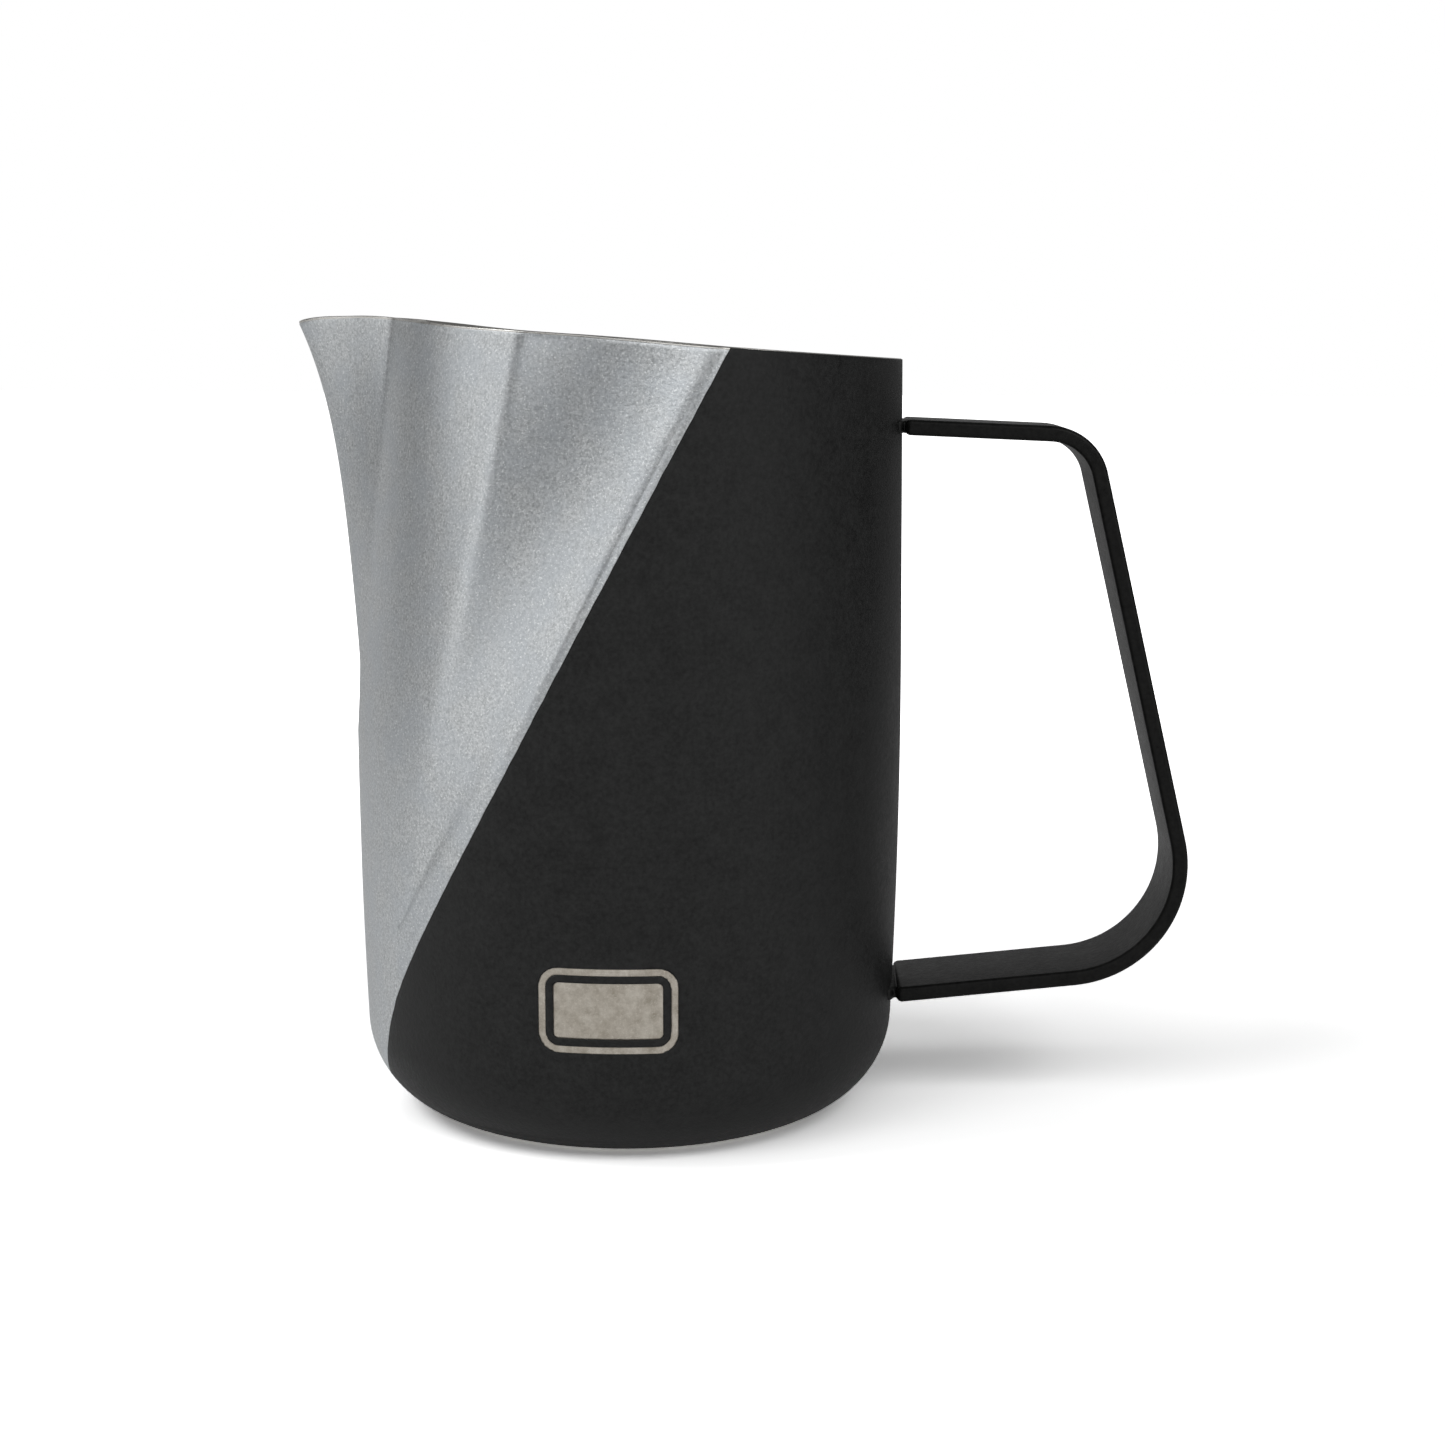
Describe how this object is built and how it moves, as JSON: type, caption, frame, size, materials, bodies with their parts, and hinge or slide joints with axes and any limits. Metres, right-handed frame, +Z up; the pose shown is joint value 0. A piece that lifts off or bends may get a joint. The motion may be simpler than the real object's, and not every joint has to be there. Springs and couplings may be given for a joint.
{
  "type": "milk frothing pitcher",
  "caption": "Handled steel cup with a pressed pouring spout, for steaming and pouring milk, in a two-tone powder coat.",
  "frame": {"origin": "centre of the foot, on the surface the pitcher stands on", "axes": "+Z up the cup's axis, -X to the spout, +X to the handle, the part is symmetric about the XZ plane"},
  "size_m": [0.1397, 0.086, 0.1246],
  "materials": {
    "steel": "satin drawn stainless steel",
    "silver_coat": "fine-textured silver-grey powder coat",
    "black_coat": "fine-textured matte black powder coat",
    "handle_coat": "matte black powder coat",
    "weld_coat": "matte black powder coat over a weld"
  },
  "bodies": {
    "root": {"body_shell": "steel", "silver_coat": "silver_coat", "black_coat": "black_coat", "handle_strap": "handle_coat", "upper_weld": "weld_coat", "lower_weld": "weld_coat"}
  },
  "joints": []
}
